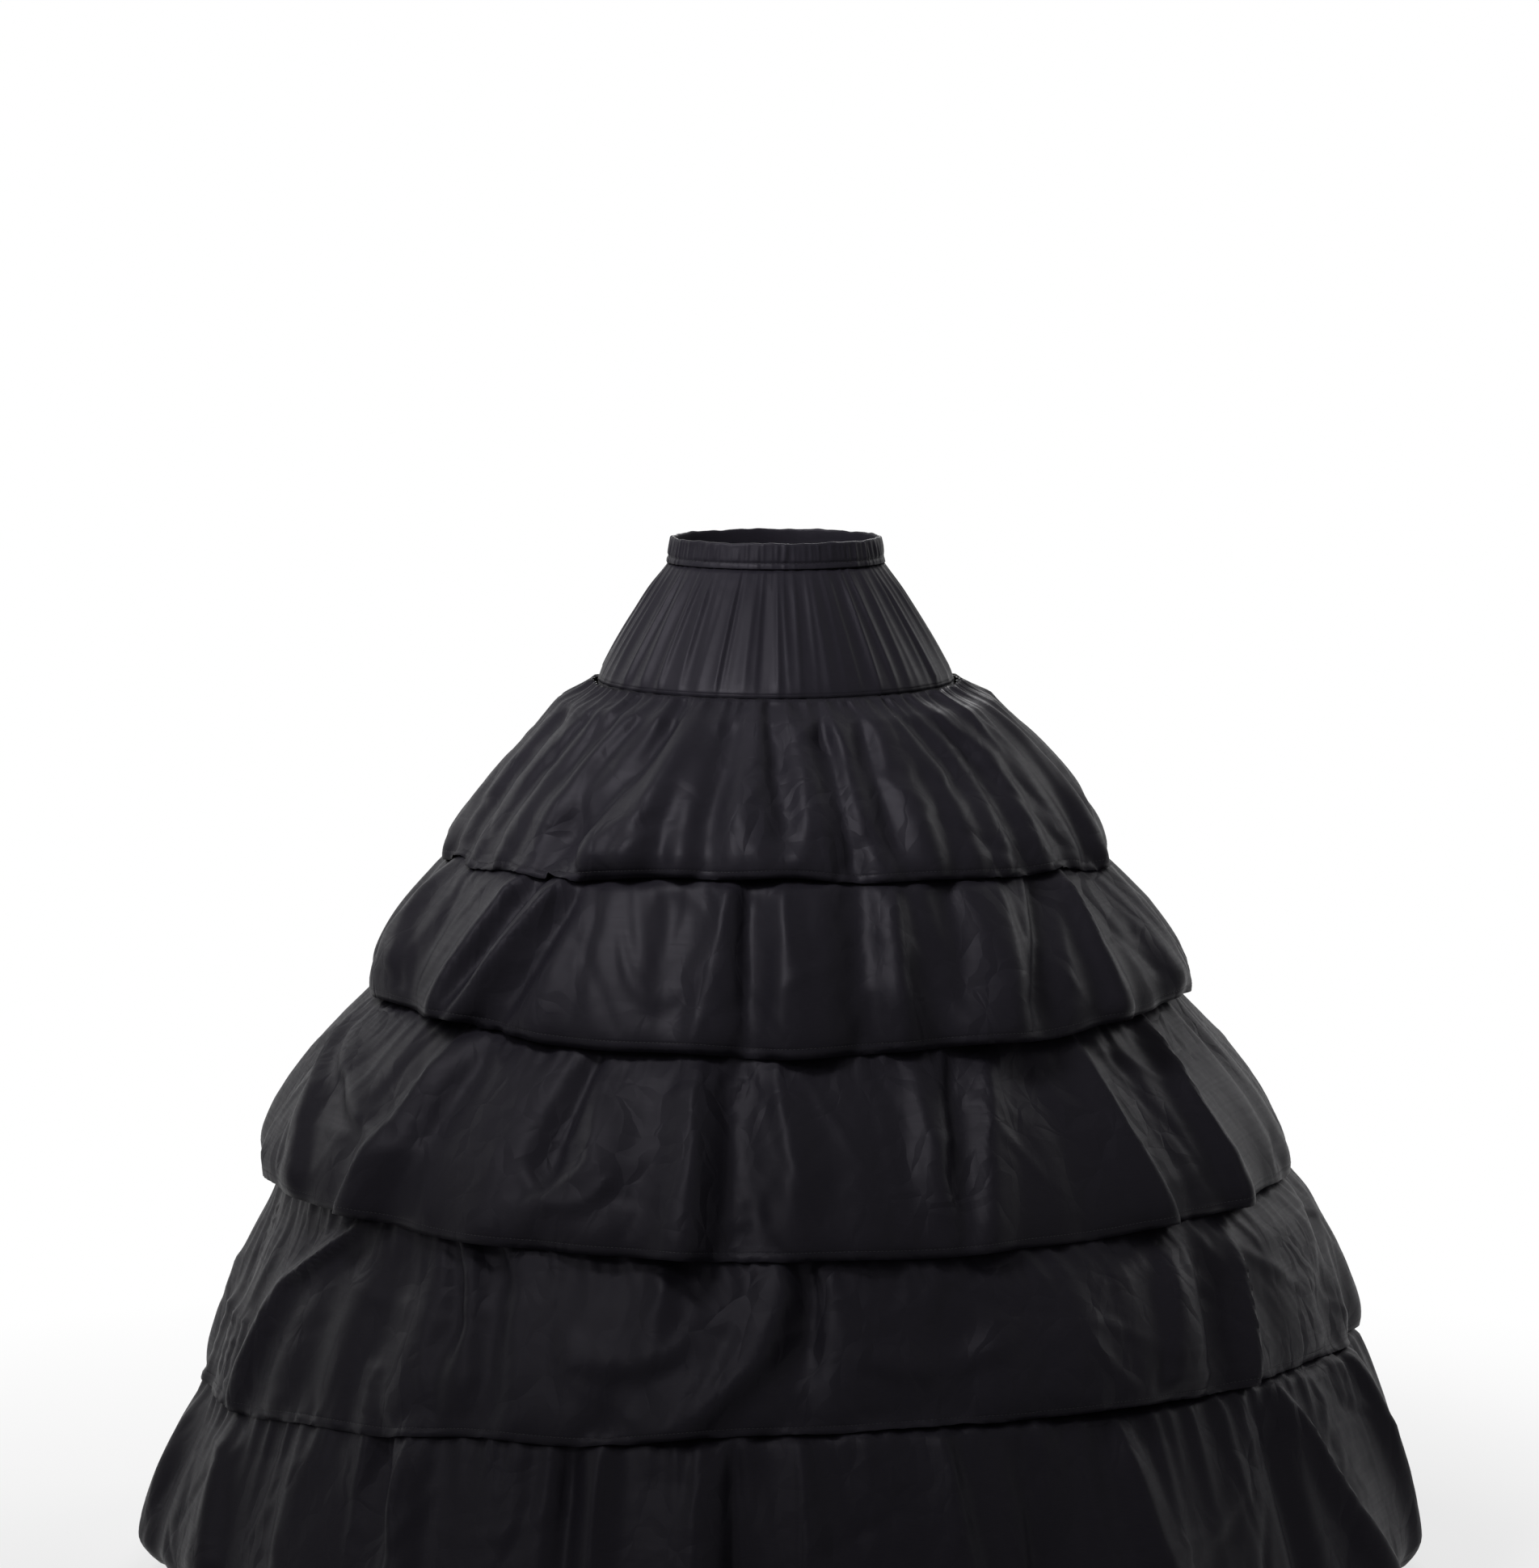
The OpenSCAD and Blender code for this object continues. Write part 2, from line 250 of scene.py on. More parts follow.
yokeTaffeta = clothMaterial("yokeTaffeta", yokeLook)
bandTaffeta = clothMaterial("bandTaffeta", bandLook)
lining = clothMaterial("lining", liningLook)
tapeTwill = clothMaterial("tapeTwill", tapeLook)
elasticKnit = clothMaterial("elasticKnit", elasticLook)

# fine detail that both metals share
metalGrain = {
    "grainDetail": 3.0, "grainHigh": 0.00003, "grainRough": 0.2, "grainShare": 0.5, "middle": 0.5,
    "spotScale": 45.0, "spotDetail": 5.0, "spotRough": 0.6,
    "wornSharp": 9.0, "wornDark": 0.2, "wornDeep": 0.00004, "wornRough": 0.15,
    "darkAt": 0.35, "lightAt": 0.7}


# coated or bare steel, worn in spots
def metalMaterial(name, look):
    shade = Shade(name)
    fine = metalGrain
    place = shade.node("TexCoord", out=3)
    grain = shade.noise(shade.stretch(place, look["grain"]), 1.0, fine["grainDetail"])
    spot = shade.noise(place, fine["spotScale"], fine["spotDetail"], fine["spotRough"])
    worn = (spot - look["wornFrom"]) * fine["wornSharp"]
    worn = worn.calc("MINIMUM", 1.0).calc("MAXIMUM", 0.0)
    tone = grain * fine["grainShare"] + spot * (1 - fine["grainShare"])
    colour = shade.ramp(
        tone - worn * fine["wornDark"],
        (fine["darkAt"], look["dark"]), (fine["lightAt"], look["light"]))
    rough = look["rough"] + (grain - fine["middle"]) * fine["grainRough"]
    height = grain * fine["grainHigh"] - worn * fine["wornDeep"]
    return shade.finish(shade.node("BsdfPrincipled", {
        "Base Color": colour, "Roughness": rough + worn * fine["wornRough"],
        "Metallic": look["metal"] + worn * look["wornMetal"], "Normal": shade.bump(height)}))


ribbonLook = {
    "grain": (60.0, 60.0, 900.0), "dark": (0.62, 0.62, 0.6), "light": (0.78, 0.78, 0.75), "rough": 0.38,
    "metal": 0.0, "wornMetal": 0.6, "wornFrom": 0.66}
sleeveLook = {
    "grain": (900.0, 60.0, 60.0), "dark": (0.34, 0.35, 0.36), "light": (0.55, 0.56, 0.58), "rough": 0.34,
    "metal": 0.9, "wornMetal": 0.1, "wornFrom": 0.6}
ribbonSteel = metalMaterial("ribbonSteel", ribbonLook)
sleeveSteel = metalMaterial("sleeveSteel", sleeveLook)

# sewing thread
threadLook = {
    "dark": (0.0035, 0.0032, 0.0045), "light": (0.01, 0.0095, 0.012), "darkAt": 0.3, "lightAt": 0.7,
    "fibreScale": 2600.0, "fibreDetail": 2.0, "fibreHigh": 0.00008, "fibreRough": 0.2,
    "rough": 0.5, "middle": 0.5, "specular": 0.25}


def threadMaterial(look):
    shade = Shade("thread")
    place = shade.node("TexCoord", out=3)
    fibre = shade.noise(place, look["fibreScale"], look["fibreDetail"])
    colour = shade.ramp(fibre, (look["darkAt"], look["dark"]), (look["lightAt"], look["light"]))
    return shade.finish(shade.node("BsdfPrincipled", {
        "Base Color": colour, "Roughness": look["rough"] + (fibre - look["middle"]) * look["fibreRough"],
        "Normal": shade.bump(fibre * look["fibreHigh"]), "Specular IOR Level": look["specular"]}))


thread = threadMaterial(threadLook)
print("materials made")


def ease(x):
    x = np.clip(x, 0, 1)
    return x * x * (3 - 2 * x)


def blend(first, last, share):
    return first + (last - first) * share


# one random value from each named range
def drawFrom(draw, ranges, *names):
    return [draw.uniform(*ranges[name]) for name in names]


def lengths(steps):
    return np.sqrt((steps * steps).sum(-1, keepdims=True))


# the angles of a ring's columns, from the front round
def ringAngles(columns):
    return np.arange(columns) * fullTurn / columns


# how far one angle lies from another along a ring, the shorter way round
def arcOfDegrees(angle, other, radius):
    return ((angle - other + 180) % 360 - 180) * math.pi / 180 * radius


def arcOfRadians(angle, other, radius):
    return ((angle - other + math.pi) % fullTurn - math.pi) * radius


# points on an oval or round ring
def ringPoints(angles, halfWide, halfDeep, height):
    return np.stack([halfWide * np.sin(angles), -halfDeep * np.cos(angles), height], -1)


# a ring of cloth from a grid of points: rows from the top, columns round from the front
def ringMesh(name, grid, flatWide, along):
    rows, columns, _ = grid.shape
    number = np.arange(rows * columns).reshape(rows, columns)
    upper = number[:-1]
    lower = number[1:]
    quads = np.stack([upper, lower, np.roll(lower, -1, 1), np.roll(upper, -1, 1)], -1).reshape(-1, 4)
    mesh = bpy.data.meshes.new(name)
    mesh.from_pydata(grid.reshape(-1, 3).tolist(), [], quads.tolist())
    across = np.arange(columns + 1) * flatWide / columns
    leftU, upperV = np.meshgrid(across[:-1], along[:-1])
    rightU, lowerV = np.meshgrid(across[1:], along[1:])
    corners = [leftU, upperV, leftU, lowerV, rightU, lowerV, rightU, upperV]
    flat = np.stack(corners, -1).reshape(-1).astype(np.float32)
    mesh.uv_layers.new(name="UVMap").data.foreach_set("uv", flat)
    mesh.polygons.foreach_set("use_smooth", np.ones(len(quads), bool))
    mesh.update()
    return mesh


def paint(mesh, material):
    mesh.materials.clear()
    mesh.materials.append(material)


def addPiece(name, mesh, material):
    piece = bpy.data.objects.new(name, mesh)
    scene.collection.objects.link(piece)
    paint(mesh, material)
    return piece


def bakeModifiers(piece):
    shown = piece.evaluated_get(bpy.context.evaluated_depsgraph_get())
    mesh = bpy.data.meshes.new_from_object(shown)
    piece.modifiers.clear()
    piece.data = mesh


# a sheet of cloth with a thickness, which stands for a CAD node and says its flat size
def clothSheet(name, grid, cut, along, material, thick, node, slot, held, restsOn, offset=-1):
    wide, long, area = cut
    piece = addPiece(name, ringMesh(name, grid, wide, along), material)
    wall = piece.modifiers.new("wall", "SOLIDIFY")
    wall.thickness = thick
    wall.offset = offset
    bakeModifiers(piece)
    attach(piece, "root")
    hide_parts(node)
    print(name, "flat", round(wide, 3), round(long, 3), "area", round(area, 4))


# the same for a ring whose flat size is measured on its grid
def clothRing(name, grid, *facts, **more):
    wide = lengths(np.roll(grid, -1, 1) - grid).sum(1)
    down = lengths(np.diff(grid, axis=0))
    long = down.sum(0)
    cut = (float(wide.max()), float(long.mean()), float(wide.mean() * long.mean()))
    steps = np.concatenate([[0], np.cumsum(down.mean(1)[:, 0])])
    clothSheet(name, grid, cut, steps[-1] - steps, *facts, **more)


# the skirt's lines from the solids: yoke seam and hoops, where flounces show, hems and how they hang
skirt = {
    "anchorR": [0.184, 0.29, 0.385, 0.5, 0.556], "anchorZ": [-0.135, -0.272, -0.435, -0.62, -0.782],
    "emergeR": [0.2215, 0.345, 0.414, 0.521, 0.591], "emergeZ": [-0.153, -0.324, -0.47, -0.655, -0.847],
    "hemR": [0.3425, 0.427, 0.5345, 0.5938, 0.66], "hemZ": [-0.315, -0.461, -0.646, -0.838, -1.055],
    "frontLift": [0.018, 0, 0, 0.032, 0], "sideLift": [0, 0, 0, 0.028, 0],
    "sideRise": [0, 0.016, 0.012, 0.006, 0.018], "seamBand": 0.0208,
    "sway": [(0.004, 0.002), (0.0, 0.006), (-0.005, 0.0), (0.018, 0.006), (0.006, 0.008)]}

# folds: how much wider and deeper they are made, and how each widens, rounds off and fades
foldSet = {
    "wide": 1.5, "deep": 1.25, "start": 0.8, "spread": 0.9, "leans": [-0.35, 0.35],
    "ridgeSharp": 1.4, "ridgeBlunt": 0.8, "grooveSharp": 1.9,
    "fadeFrom": 0.1, "fadeRun": 0.25, "fadeEnd": 0.85}

# each flounce's front folds: angles and shares of the drop, width and depth in millimetres, any lean
frontFolds = [
    [(((-27, 0.03), (-33, 0.42), (-40, 0.75)), 11, -17),
     (((-22, 0.12), (-25, 0.46), (-31, 0.8)), 16, 13, -0.3),
     (((-11, 0.05), (-13, 0.45), (-15, 0.65)), 15, -12), (((-2.5, 0.03), (-1, 0.36), (1, 0.65)), 8, -14),
     (((5, 0.3), (6, 0.6)), 12, 9), (((12, 0.08), (12, 0.5), (13, 0.9)), 9, -15),
     (((23, 0.06), (20.5, 0.4), (21, 0.75)), 9, -12), (((-47, 0.04), (-51, 0.38)), 8, -9),
     (((-38, 0.04), (-43, 0.32)), 8, -9), (((-57, 0.05), (-63, 0.45)), 6, -6),
     (((35, 0.05), (40, 0.4)), 8, -8), (((44, 0.05), (51, 0.42)), 8, -8),
     (((-20, 0.53), (-41, 0.82)), 20, 4), (((-18, 0.64), (-29, 0.85)), 14, 4),
     (((72, 0.1), (75, 0.5), (72, 0.85)), 10, 5), (((-76, 0.1), (-76, 0.55), (-76, 0.9)), 16, -10)],
    [(((-77, 0.25), (-71.5, 0.7)), 14, 10), (((-47, 0.15), (-50, 0.54), (-54, 1)), 10, 18, 0.3),
     (((-43, 0.2), (-46, 0.5), (-52, 1)), 8, -10), (((-37, 0.17), (-41.5, 0.48), (-49, 1)), 11, 19, 0.35),
     (((-34.5, 0.3), (-37.5, 0.63), (-43, 1)), 8, -10),
     (((-18, 0.25), (-16.5, 0.5), (-16, 0.75)), 22, -12),
     (((-7.6, 0.22), (-9.3, 0.5), (-11, 0.8)), 10, 10, -0.4),
     (((-5, 0.22), (-4.3, 0.6), (-4.8, 1)), 10, -12), (((1.3, 0.22), (0.5, 0.7)), 8, 7),
     (((15, 0.2), (12, 1)), 14, -8), (((20, 0.22), (16.5, 0.7)), 10, 8), (((31, 0.2), (24, 1)), 14, -10),
     (((40, 0.2), (31, 1)), 16, 8), (((50, 0.2), (38, 0.8)), 10, -12),
     (((57, 0.15), (53.5, 0.55), (52, 0.9)), 9, 14), (((76, 0.2), (74, 0.8)), 12, 10)],
    [(((-82, 0.22), (-71, 0.5), (-65, 0.85)), 10, 10), (((-75, 0.28), (-51, 0.65)), 20, 8),
     (((-47, 0.15), (-49, 0.5), (-53, 1)), 12, 18, -0.3), (((-42, 0.2), (-44, 0.6), (-47, 1)), 14, -8),
     (((-24.5, 0.14), (-25.6, 0.37), (-26.5, 0.56)), 7, -12),
     (((-22, 0.3), (-21.5, 0.6), (-27, 0.8)), 12, 10), (((-10, 0.14), (-9, 0.5), (-9, 1)), 10, 14, 0.4),
     (((-5.4, 0.16), (-4.3, 1)), 14, -14), (((0.4, 0.2), (2.4, 0.6)), 8, 8),
     (((19, 0.18), (18.3, 0.65)), 9, 9), (((25, 0.18), (21, 0.65)), 8, -10),
     (((30, 0.18), (25.5, 0.54), (22.7, 1)), 10, 12), (((36, 0.18), (35, 0.9)), 20, -10),
     (((45, 0.15), (44.7, 0.54), (47, 1)), 8, 16), (((52, 0.2), (52, 1)), 18, -8),
     (((62, 0.12), (59.7, 0.5), (60, 1)), 8, 16), (((80, 0.15), (76, 0.9)), 12, -6)],
    [(((-53, 0.15), (-64, 0.46), (-68, 0.95)), 11, 14), (((-39, 0.12), (-36, 0.5)), 6, -12),
     (((-33.5, 0.1), (-29.5, 0.85)), 14, -10), (((-36, 0.15), (-33, 0.7)), 10, 6),
     (((-13, 0.14), (-14, 0.5)), 10, 10), (((0, 0.12), (-2.5, 0.57), (-9, 0.95)), 14, 14, 0.3),
     (((2.3, 0.1), (1.9, 0.55)), 9, -12), (((44, 0.25), (41, 0.7)), 12, 10),
     (((49, 0.25), (46.5, 0.9)), 12, -10), (((55.5, 0.25), (53.2, 0.6), (51.5, 1)), 8, 14),
     (((84, 0.15), (74, 0.7)), 12, -5), (((-82, 0.2), (-78, 0.9)), 12, -5)],
    [(((-67, 0.25), (-64, 0.8)), 16, 14), (((-41.5, 0.17), (-38, 0.6)), 8, -12),
     (((-37.8, 0.2), (-37, 1)), 12, 14), (((-20.5, 0.22), (-19.7, 0.8)), 10, -12),
     (((-17, 0.22), (-17, 1)), 10, 10), (((-7.6, 0.22), (-8, 1)), 10, 10),
     (((-4.6, 0.22), (-4, 0.9)), 8, -10), (((1.8, 0.22), (2.8, 1)), 10, 10),
     (((15, 0.22), (17.5, 1)), 12, 12), (((22, 0.25), (24, 1)), 12, -8), (((33, 0.25), (36, 1)), 12, 12),
     (((52.5, 0.25), (53.5, 0.9)), 10, -12), (((57, 0.25), (61, 0.56), (66.5, 0.95)), 10, 16),
     (((74, 0.15), (78, 0.9)), 12, 12), (((-53, 0.2), (-50, 1)), 16, 10),
     (((-82, 0.2), (-79, 0.9)), 14, 12)]]

# the back folds, drawn from these ranges
backSet = {
    "from": 110, "to": 254, "round": 22, "roundMore": 3, "shift": (-5, 5), "drift": (-7, 7),
    "driftMiddle": 0.3, "first": (0.1, 0.25), "middle": 0.5, "last": (0.7, 1.1),
    "wide": (0.008, 0.018), "sides": [-1, 1, 1], "deep": (0.007, 0.016), "lean": (-0.4, 0.4)}


def flounceFolds(tier, draw):
    folds = [(line, wide / perMetre, deep / perMetre, *lean) for line, wide, deep, *lean in frontFolds[tier]]
    step = 360 / (backSet["round"] + backSet["roundMore"] * tier)
    for angle in np.arange(backSet["from"], backSet["to"], step):
        shift, drift, first, last, wide = drawFrom(draw, backSet, "shift", "drift", "first", "last", "wide")
        side = draw.choice(backSet["sides"])
        deep, lean = drawFrom(draw, backSet, "deep", "lean")
        start = angle + shift
        middle = start + drift * backSet["driftMiddle"]
        line = ((start, first), (middle, backSet["middle"]), (start + drift, last))
        folds.append((line, wide, side * deep, lean))
    return folds


def addFolds(relief, tier, degrees, share, radius, draw):
    for line, wide, deep, *leans in flounceFolds(tier, draw):
        angles, shares = np.array(line, float).T
        first = shares[0]
        last = shares[-1]
        along = np.clip((share - first) / (last - first), 0, 1)
        aside = arcOfDegrees(degrees, np.interp(share, shares, angles), radius)
        lean = leans[0] if leans else draw.choice(foldSet["leans"])
        reach = foldSet["wide"] * wide * (foldSet["start"] + foldSet["spread"] * along)
        reach = reach * np.where(aside < 0, 1 + lean, 1 - lean)
        fade = ease((share - first + foldSet["fadeFrom"]) / foldSet["fadeRun"])
        fade = fade * (1 - foldSet["fadeEnd"] * ease((share - last) / foldSet["fadeRun"]))
        ridge = foldSet["ridgeSharp"] + foldSet["ridgeBlunt"] * along * along
        sharp = ridge if deep > 0 else foldSet["grooveSharp"]
        relief += foldSet["deep"] * deep * fade * np.exp(-np.abs(aside / reach) ** sharp)


# wrinkles that run round: two angles, share of drop at the ends, sag, width and depth
swagSet = {"steep": 1.2, "ends": 2.5}
swags = [
    [],
    [(-26, -9, 0.4, 0.36, 0.013, 0.003)],
    [(-31, -17, 0.62, 0.16, 0.012, 0.005)],
    [(-25, -9, 0.5, 0.12, 0.02, 0.006), (4, 24, 0.5, 0.18, 0.022, 0.005),
     (38, 52, 0.86, 0.03, 0.012, 0.004)],
    []]


def addSwags(relief, tier, degrees, share, drop):
    for left, right, ends, sag, wide, deep in swags[tier]:
        across = (degrees - (left + right) / 2) / ((right - left) / 2)
        below = (share - ends - sag * (1 - across * across)) * drop * swagSet["steep"]
        relief += deep * ease((1 - np.abs(across)) * swagSet["ends"]) * np.exp(-(below / wide) ** 2)


# short wrinkles of a crisp cloth, most of them running down
crumpleSet = {
    "count": [130, 130, 150, 160, 190], "seed": 140, "share": (0.1, 0.95), "tilt": 0.55, "downShare": 0.65,
    "far": (0.025, 0.08), "wide": (0.005, 0.009), "bow": 1.5, "deep": (0.0008, 0.0024), "sharp": 1.6,
    "hemFrom": 0.86, "hemRun": 0.12}


def addCrumples(relief, tier, angles, share, radius, drop):
    draw = np.random.default_rng(crumpleSet["seed"] + tier)
    hem = 1 - ease((share - crumpleSet["hemFrom"]) / crumpleSet["hemRun"])
    for _ in range(crumpleSet["count"][tier]):
        angle = draw.uniform(0, fullTurn)
        middle = draw.uniform(*crumpleSet["share"])
        tilt = draw.normal() * crumpleSet["tilt"]
        tilt += math.pi / 2 if draw.random() < crumpleSet["downShare"] else 0
        far, wide = drawFrom(draw, crumpleSet, "far", "wide")
        bow = draw.normal() * crumpleSet["bow"]
        deep = draw.choice([-1, 1]) * draw.uniform(*crumpleSet["deep"])
        across = arcOfRadians(angles, angle, radius)
        down = (share - middle) * drop
        along = across * math.cos(tilt) + down * math.sin(tilt)
        aside = down * math.cos(tilt) - across * math.sin(tilt) + bow * along ** 2
        relief += deep * np.exp(-(along / far) ** 2 - np.abs(aside / wide) ** crumpleSet["sharp"]) * hem


# loose fullness all round
fullSet = {"waves": range(3, 48), "high": 0.0012, "fall": 0.7, "fallFrom": 10, "grow": 1.5, "lean": 1.6}


def addFullness(relief, angles, share, draw):
    for n in fullSet["waves"]:
        size = fullSet["high"] * draw.normal() * (fullSet["fallFrom"] / n) ** fullSet["fall"]
        phase = n * angles + draw.uniform(*anyPhase) + draw.normal() * fullSet["lean"] * share
        relief += size * ease(share * fullSet["grow"]) * np.cos(phase)


# short gathers from the heading
gatherSet = {
    "pitch": [0.013, 0.014, 0.014, 0.014, 0.026], "shift": (-0.4, 0.4), "spread": 0.8, "sharp": 1.6,
    "run": [(0.025, 0.085), *[(0.03, 0.08)] * 3, (0.09, 0.15)],
    "wide": [(0.003, 0.0055), *[(0.0028, 0.0045)] * 3, (0.005, 0.009)],
    "deep": [(0.003, 0.009), *[(0.001, 0.004)] * 3, (0.006, 0.015)]}


def addGathers(relief, tier, degrees, below, draw):
    seam = skirt["anchorR"][tier]
    count = int(fullTurn * seam / gatherSet["pitch"][tier])
    for n in range(count):
        angle = (n + draw.uniform(*gatherSet["shift"])) * 360 / count
        aside = arcOfDegrees(degrees, angle, seam)
        run = below / draw.uniform(*gatherSet["run"][tier])
        wide = draw.uniform(*gatherSet["wide"][tier]) * (1 + gatherSet["spread"] * run)
        deep = draw.uniform(*gatherSet["deep"][tier])
        relief += deep * np.exp(-run ** 2) * np.exp(-np.abs(aside / wide) ** gatherSet["sharp"])


# how much a hem is lifted at the front and raised at the sides
def hemRise(tier, angles):
    if tier < 0:
        return np.zeros_like(angles)
    side = np.sin(angles)
    front = np.maximum(0, np.cos(angles)) ** 2
    lift = skirt["frontLift"][tier] * front + skirt["sideLift"][tier] * side
    return lift + skirt["sideRise"][tier] * side ** 2


# the flounces' sizes and plain shape
flounceSet = {
    "columns": [540, 580, 640, 660, 840], "rows": [42, 40, 45, 45, 50], "thick": 0.0006, "seed": 40,
    "heading": 0.01, "seat": 0.0018, "seamDrop": 0.0004, "seamHeading": 0.002,
    "linePoints": 300, "belly": 1.5, "curl": [0.004, 0.004, 0.004, 0.004, 0.014],
    "curlFrom": 0.84, "curlRun": 0.16, "swayFull": 3,
    "hemFollow": 0.14, "ripple": 0.0006, "rippleWaves": range(5, 19)}


# the flounce's plain line in even steps: radius, height, share of what shows, and distance from the top
def flounceLine(tier):
    shown = np.linspace(0, 1, flounceSet["linePoints"])
    puff = 1 - (1 - shown) ** flounceSet["belly"]
    radius = blend(skirt["emergeR"][tier], skirt["hemR"][tier], puff)
    curl = np.maximum(0, (shown - flounceSet["curlFrom"]) / flounceSet["curlRun"]) ** 2
    radius -= flounceSet["curl"][tier] * curl
    height = blend(skirt["emergeZ"][tier], skirt["hemZ"][tier], shown)
    seat = skirt["anchorR"][tier] + flounceSet["seat"]
    top = skirt["anchorZ"][tier] + (flounceSet["heading"] / 2 if tier else -flounceSet["seamDrop"])
    low = top - (flounceSet["heading"] if tier else flounceSet["seamHeading"])
    radius = np.concatenate([[seat, seat], radius])
    height = np.concatenate([[top, low], height])
    shown = np.concatenate([[-1, -1], shown])
    steps = np.concatenate([[0], np.cumsum(np.hypot(np.diff(radius), np.diff(height)))])
    below = np.linspace(0, steps[-1], flounceSet["rows"][tier])
    radius, height, shown = [np.interp(below, steps, line) for line in (radius, height, shown)]
    pinned = max(1, int(np.sum(below <= top - low + 1e-6)))
    radius[pinned + 1:-1] = (radius[pinned:-2] + 2 * radius[pinned + 1:-1] + radius[pinned + 2:]) / 4
    return radius, height, shown, below, pinned


# the flounce as it is meant to hang, with the folds that the cloth starts from
def flounceGoal(tier):
    draw = np.random.default_rng(flounceSet["seed"] + tier)
    line = flounceLine(tier)
    radius, height, shown, below = [values[:, None] for values in line[:4]]
    angles = ringAngles(flounceSet["columns"][tier])
    degrees = (np.degrees(angles) + 180) % 360 - 180
    drop = skirt["anchorZ"][tier] - skirt["hemZ"][tier]
    share = np.clip((skirt["anchorZ"][tier] - height) / drop, 0, 1)
    relief = np.zeros((len(radius), len(angles)))
    addFolds(relief, tier, degrees, share, radius, draw)
    addSwags(relief, tier, degrees, share, drop)
    addCrumples(relief, tier, angles, share, radius, drop)
    addFullness(relief, angles, share, draw)
    addGathers(relief, tier, degrees, below, draw)
    hung = np.where(shown < 0, np.clip(1 + shown, 0, 1), 1 - shown)
    height = height + hemRise(tier, angles) * np.clip(shown, 0, 1) + hemRise(tier - 1, angles) * hung
    ripple = sum(
        flounceSet["ripple"] * draw.normal() * np.cos(n * angles + draw.uniform(*anyPhase))
        for n in flounceSet["rippleWaves"])
    height += share ** 3 * (flounceSet["hemFollow"] * relief + ripple)
    sway = np.interp(shown, (0, 1), skirt["sway"][tier]) * ease(share * flounceSet["swayFull"])
    goal = ringPoints(angles, radius + relief, radius + relief, height)
    goal[..., 0] += sway
    return goal, line[4]


# the outermost cloth under a flounce, by angle and height
class Below:
    turns = 720
    levels = 260
    low = -1.08
    high = -0.1
    between = (0, 0.25, 0.5, 0.75)

    def __init__(self, grids):
        seam = skirt["anchorR"]
        seamZ = skirt["anchorZ"]
        half = skirt["seamBand"] / 2
        line = [(seamZ[0], seam[0]), (seamZ[0] - 2 * half, seam[0])]
        for radius, height in zip(seam[1:], seamZ[1:]):
            line += [(height + half, radius), (height - half, radius)]
        line = np.array(line)[::-1]
        heights = np.linspace(self.low, self.high, self.levels)
        plain = np.interp(heights, line[:, 0], line[:, 1], left=0.0, right=0.0)
        self.map = np.repeat(plain[:, None], self.turns, 1)
        for grid in grids:
            closed = np.concatenate([grid, grid[:, :1]], 1)
            for down in self.between:
                rows = closed[:-1] * (1 - down) + closed[1:] * down
                for across in self.between:
                    self.stamp(rows[:, :-1] * (1 - across) + rows[:, 1:] * across)
        self.widen()

    def cell(self, points):
        turn = np.arctan2(points[..., 0], -points[..., 1]) / fullTurn * self.turns
        level = (points[..., 2] - self.low) / (self.high - self.low) * (self.levels - 1)
        level = np.clip(np.round(level), 0, self.levels - 1)
        return level.astype(int), np.round(turn).astype(int) % self.turns

    def stamp(self, points):
        np.maximum.at(self.map, self.cell(points), np.hypot(points[..., 0], points[..., 1]))

    def widen(self):
        beside = np.maximum(np.roll(self.map, 1, 1), np.roll(self.map, -1, 1))
        self.map = np.maximum(self.map, beside)
        self.map[:-1] = np.maximum(self.map[:-1], self.map[1:])

    def push(self, points, gap):
        radius = np.hypot(points[..., 0], points[..., 1])
        grow = np.maximum(0, self.map[self.cell(points)] + gap - radius) / radius
        points[..., :2] *= (1 + grow)[..., None]


# how the strip settles: spare cloth, pulls towards the goal and the rest lengths, and steps
settleSet = {
    "spareWidth": 1.01, "gatherWidth": 0.05, "gatherReach": 0.1, "spareLength": 1.008,
    "gravity": 0.00002, "goalPull": 0.01, "keepSpeed": 0.9, "slantPull": 0.12, "bendPull": 0.25,
    "bendAcross": ((2, 0.4), (4, 0.3), (8, 0.2)), "bendDown": ((2, 0.4), (4, 0.3)),
    "steps": 220, "gap": 0.0016}


def pull(first, second, rest):
    between = second - first
    move = between * (0.5 * (1 - rest / lengths(between)))
    first += move
    second -= move


# bending acts only against closing up
def bendMove(between, rest, stiff):
    return between * (settleSet["bendPull"] * stiff * np.minimum(0, 1 - rest / lengths(between)))


